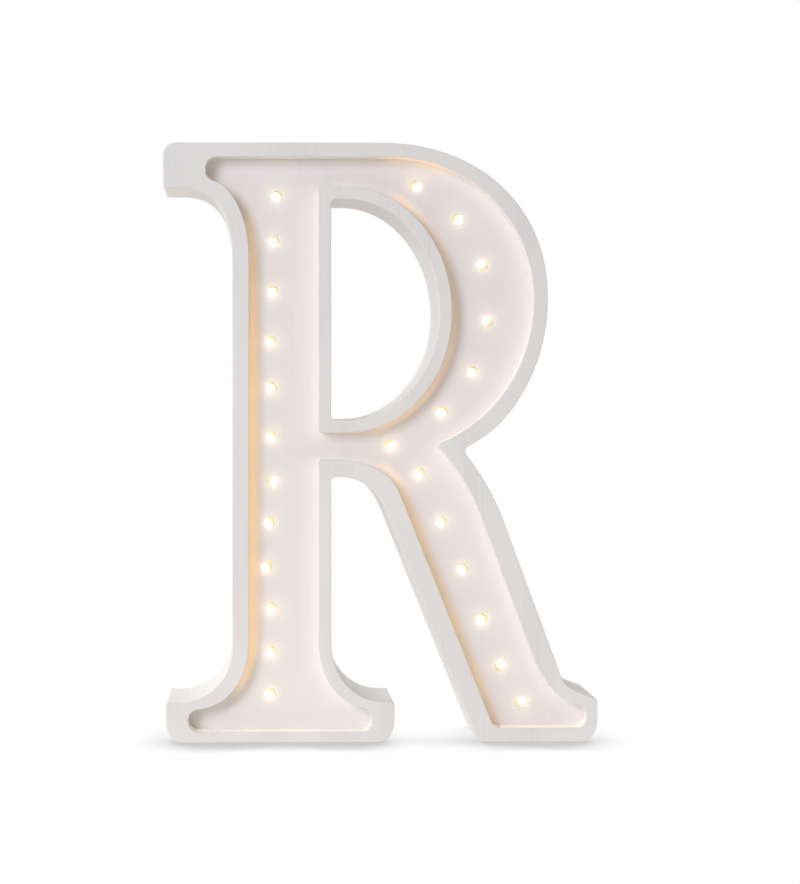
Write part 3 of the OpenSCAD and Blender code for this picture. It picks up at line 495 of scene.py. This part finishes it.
# Lenses: a flange behind the tray's floor, a barrel through it and a dome in front
def lens_piece():
    sides = 28
    dome_steps = 8
    flange_r = 3.1 * mm
    flange_lip = 0.65 * mm
    flange_ease = 0.2 * mm
    die_shift = 0.4
    cooling = 0.62
    barrel_r = flange_r - flange_lip
    dome_y = lens_tip_y + barrel_r
    profile = [
        (flange_r - flange_ease, flange_back_y),
        (flange_r, flange_back_y - flange_ease),
        (flange_r, floor_back_y),
        (barrel_r, floor_back_y),
    ]
    for k in range(dome_steps):
        a = math.pi / 2 * k / dome_steps
        profile.append((barrel_r * math.cos(a), dome_y - barrel_r * math.sin(a)))
    hotness = []
    bm = bmesh.new()
    for centre, lean in lamps:
        side = Vector((math.cos(math.radians(lean)), 0.0, math.sin(math.radians(lean))))
        first = len(bm.verts)
        lathe(bm, centre, profile, sides)
        bm.verts.ensure_lookup_table()
        for vert in bm.verts[first:]:
            off = (vert.co - centre) / barrel_r
            off.y = 0.0
            hotness.append(1.0 - cooling * (off + side * die_shift).length)
    bmesh.ops.recalc_face_normals(bm, faces=bm.faces)
    for face in bm.faces:
        face.smooth = True
    piece = finish_piece(bm, "lamp_lenses", "letter", [lens])
    attribute = piece.data.attributes.new("hotness", "FLOAT", "POINT")
    attribute.data.foreach_set("value", hotness)


# Pieces with eased edges
case_round = 0.25 * mm
screw_round = 0.12 * mm
small_screw_round = 0.08 * mm

letter_piece()
lens_piece()
panel_piece()
softened("battery_box", "letter", white_abs, case_round)
softened("battery_door", "door", white_abs, case_round)
softened("switch_slider", "slider", black_abs, case_round)
softened("panel_screws", "letter", zinc, screw_round)
softened("box_screws", "letter", zinc, screw_round)
softened("switch_screws", "letter", zinc, small_screw_round)

# Inner nodes keep their solids and get their finish
inner_finish = {
    "lamp_sleeves": ivory,
    "string_wire_positive": red_vinyl,
    "string_wire_negative": dark_vinyl,
    "cell_left": cell_wrap,
    "cell_right": cell_wrap,
    "positive_plate": nickel,
    "negative_plate": nickel,
    "bridge_plate": nickel,
    "contact_springs": nickel,
    "lead_red": red_vinyl,
    "lead_black": dark_vinyl,
    "switch_housing": tin,
    "switch_base": resin,
    "switch_terminals": brass,
    "switch_wiper": brass,
    "switch_nuts": zinc,
    "circuit_board": board,
    "resistor": lacquer,
    "jumper_wires": red_vinyl,
}
for node, material in inner_finish.items():
    nodes[node].data.materials.clear()
    nodes[node].data.materials.append(material)


# Stage: a white floor that keeps the letter's shadow, and a white surround
warm = (1.0, 0.94, 0.82)
white = (1.0, 1.0, 1.0)


def seen_directly(tree):
    """1 for rays from the camera, off gloss or through glass, and 0 for the rest."""
    path = tree.nodes.new("ShaderNodeLightPath")
    both = maths(tree, "MAXIMUM", path.outputs["Is Camera Ray"], path.outputs["Is Glossy Ray"])
    return maths(tree, "MAXIMUM", both, path.outputs["Is Transmission Ray"])


def make_floor():
    """A floor seen as white, with a soft shadow before and beside the letter.

    It lights the letter as white paper does, and less with distance from the letter.
    """
    half = 6.0
    near_end = 0.35
    far_end = 1.4
    near_light = 1.0
    far_light = 0.35
    toward_light = (0.0, 0.96, 0.28)
    shadow_reach = 40 * mm
    covered = 0.5
    clear = 0.88
    darkest = 0.42
    beside_depth = 25 * mm
    beside_share = 0.4
    corners = ((-half, -half), (half, -half), (half, half), (-half, half))
    bm = bmesh.new()
    bm.faces.new([bm.verts.new((x, y, 0.0)) for x, y in corners])
    floor = bpy.data.objects.new("floor", to_mesh(bm, "floor"))
    bpy.context.scene.collection.objects.link(floor)
    material = bpy.data.materials.new("floor")
    material.use_nodes = True
    tree = material.node_tree
    tree.nodes.clear()
    lean = tree.nodes.new("ShaderNodeCombineXYZ")
    for socket, value in zip(lean.inputs, toward_light):
        socket.default_value = value
    openness = tree.nodes.new("ShaderNodeAmbientOcclusion")
    openness.inputs["Distance"].default_value = shadow_reach
    tree.links.new(lean.outputs["Vector"], openness.inputs["Normal"])
    place = tree.nodes.new("ShaderNodeTexCoord")
    away = tree.nodes.new("ShaderNodeVectorMath")
    away.operation = "LENGTH"
    tree.links.new(place.outputs["Object"], away.inputs[0])
    bounce = remap(tree, away.outputs["Value"], near_end, far_end, near_light, far_light)
    seen = seen_directly(tree)
    depth = tree.nodes.new("ShaderNodeSeparateXYZ")
    tree.links.new(place.outputs["Object"], depth.inputs["Vector"])
    beside_y = front_y + beside_depth
    beside = remap(tree, depth.outputs["Y"], front_y, beside_y, 1.0, beside_share)
    dark = remap(tree, openness.outputs["AO"], covered, clear, darkest, 0.0)
    level = maths(tree, "SUBTRACT", 1.0, maths(tree, "MULTIPLY", dark, beside))
    change = maths(tree, "MULTIPLY", maths(tree, "SUBTRACT", level, bounce), seen)
    surface = tree.nodes.new("ShaderNodeEmission")
    tree.links.new(maths(tree, "ADD", change, bounce), surface.inputs["Strength"])
    tree.links.new(blend_colors(tree, seen, warm, white), surface.inputs["Color"])
    output = tree.nodes.new("ShaderNodeOutputMaterial")
    tree.links.new(surface.outputs["Emission"], output.inputs["Surface"])
    material.cycles.emission_sampling = "NONE"
    floor.data.materials.append(material)


def make_world():
    """Warm soft light, strongest from above, behind and the left, before a white surround."""
    light_level = 0.02
    left = (-0.6, 0.0, 0.0)
    behind = (0.0, 0.8, 0.0)
    above = (0.0, 0.0, 0.36)
    far_corner = (-0.31, 0.28, 0.38)
    world = bpy.data.worlds.new("surround")
    bpy.context.scene.world = world
    world.use_nodes = True
    tree = world.node_tree
    background = tree.nodes["Background"]
    seen = seen_directly(tree)
    direction = tree.nodes.new("ShaderNodeTexCoord")
    light = light_level
    for toward in (left, behind, above, far_corner):
        side = tree.nodes.new("ShaderNodeVectorMath")
        side.operation = "DOT_PRODUCT"
        side.inputs[1].default_value = toward
        tree.links.new(direction.outputs["Generated"], side.inputs[0])
        light = maths(tree, "ADD", maths(tree, "MAXIMUM", side.outputs["Value"], 0.0), light)
    rest = maths(tree, "MULTIPLY", maths(tree, "SUBTRACT", 1.0, light), seen)
    tree.links.new(maths(tree, "ADD", light, rest), background.inputs["Strength"])
    tree.links.new(blend_colors(tree, seen, warm, white), background.inputs["Color"])


def add_light(data, place, target):
    """A light at a place, turned toward a target."""
    lamp = bpy.data.objects.new(data.name, data)
    lamp.location = place
    lamp.rotation_mode = "QUATERNION"
    lamp.rotation_quaternion = (target - lamp.location).to_track_quat("-Z", "Y")
    lamp.visible_camera = False
    bpy.context.scene.collection.objects.link(lamp)


key_way = Vector((-0.74, -1.0, 0.42))


def make_key():
    """The main light, high before the letter and to its left."""
    away = 2.0
    middle = (cad_low + cad_high) / 2
    key = bpy.data.lights.new("key", "AREA")
    key.shape = "RECTANGLE"
    key.color = (0.9, 0.925, 1.0)
    key.size = 0.75
    key.size_y = 0.9
    key.energy = 21.2
    add_light(key, middle + key_way.normalized() * away, middle)


def make_halos():
    """The light that each lens throws on the tray close around it."""
    ahead = 1.0 * mm
    halo = bpy.data.lights.new("halo", "POINT")
    halo.color = (1.0, 0.72, 0.3)
    halo.energy = 0.0004
    halo.shadow_soft_size = 0.8 * mm
    for centre, _ in lamps:
        add_light(halo, Vector((centre.x, lens_tip_y - ahead, centre.z)), centre)


def wall_steps(spacing):
    """Even steps along the foot of the tray's walls, each with the way into the tray."""
    shortest_wall = 60 * mm
    steps = []
    bm = clean_copy("letter_body")
    for ring in level_rings(bm, tray_floor_y, -1)[1]:
        sides = [(a.co, b.co - a.co) for a, b in zip(ring, ring[1:] + ring[:1])]
        if sum(side.length for _, side in sides) < shortest_wall:
            continue
        ahead = spacing / 2
        for start, side in sides:
            inward = Vector((0.0, -1.0, 0.0)).cross(side.normalized())
            while ahead < side.length:
                steps.append((start + side * (ahead / side.length), inward))
                ahead += spacing
            ahead -= side.length
    bm.free()
    return steps


def add_wall_light(data, place, along, way):
    """A light that shines a way, with its length along the wall."""
    turn = Matrix((way.cross(along), along, -way)).transposed()
    lamp = bpy.data.objects.new(data.name, data)
    lamp.matrix_world = Matrix.Translation(place) @ turn.to_4x4()
    lamp.visible_camera = False
    bpy.context.scene.collection.objects.link(lamp)


def lamp_share(place, inward):
    """How much of the lamps' light reaches a step of the wall: about 1 beside a row of lamps."""
    near = 16 * mm
    most = 1.1
    share = 0.0
    for centre, _ in lamps:
        way = Vector((centre.x - place.x, 0.0, centre.z - place.z))
        share += max(0.0, way.normalized().dot(inward)) * (near / way.length) ** 2
    return min(most, share)


def make_glow():
    """The lamps' own light along the tray's walls.

    A wall that the key leaves in shadow glows amber at its foot, most beside lamps and low on
    the stem. A lit wall gets a paler shine, most where it looks up.
    """
    spacing = 18 * mm
    light_width = 3 * mm
    glow_color = (1.0, 0.5, 0.0)
    glow_gap = 3.7 * mm
    glow_height = 4 * mm
    glow_per_metre = 0.0125
    glow_falloff = 1.5
    stem_top = 0.2
    stem_rise = 2.1
    off_stem = 0.65
    under_gain = 0.3
    under_turn = 1.1
    shine_color = (1.0, 0.82, 0.52)
    shine_gap = 8 * mm
    shine_height = 5 * mm
    shine_per_metre = 0.0036
    shine_spread = math.radians(90)
    upward_gain = 2.0
    to_floor = Vector((0.0, 1.0, 0.0))
    for place, inward in wall_steps(spacing):
        along = to_floor.cross(inward)
        light = bpy.data.lights.new("wall_light", "AREA")
        light.shape = "RECTANGLE"
        light.size = light_width
        light.size_y = spacing
        if inward.dot(key_way) < 0:
            lower = 1.0 - place.z / cad_high.z
            on_stem = place.x < stem_end_x
            row = min(1.0, stem_top + stem_rise * lower) if on_stem else off_stem
            under = max(0.0, -inward.z)
            reach = lamp_share(place, inward) ** glow_falloff
            light.color = glow_color
            light.energy = glow_per_metre * spacing * row * (1.0 + under_gain * under) * reach
            spot = place + inward * glow_gap - to_floor * glow_height
            way = to_floor * (1.0 - under_turn * under) - inward
            add_wall_light(light, spot, along, way.normalized())
        else:
            upward = max(0.0, inward.z)
            light.color = shine_color
            light.spread = shine_spread
            light.energy = shine_per_metre * spacing * (1.0 + upward_gain * upward)
            spot = place + inward * shine_gap - to_floor * shine_height
            add_wall_light(light, spot, along, -inward)


def make_camera():
    data = bpy.data.cameras.new("view")
    data.sensor_width = sensor
    data.lens = focal_px / picture_h * sensor
    axis_px = normal_px[0] + focal_px * math.tan(yaw)
    data.shift_x = (picture_w / 2 - axis_px) / picture_h
    data.shift_y = -(picture_h / 2 - normal_px[1]) / picture_h
    data.clip_start = 0.01
    camera = bpy.data.objects.new("view", data)
    camera.location = eye
    camera.rotation_euler = (math.pi / 2, 0.0, -yaw)
    bpy.context.scene.collection.objects.link(camera)
    bpy.context.scene.camera = camera


make_floor()
make_world()
make_key()
make_halos()
make_glow()
make_camera()
bpy.context.scene.view_settings.view_transform = "Standard"
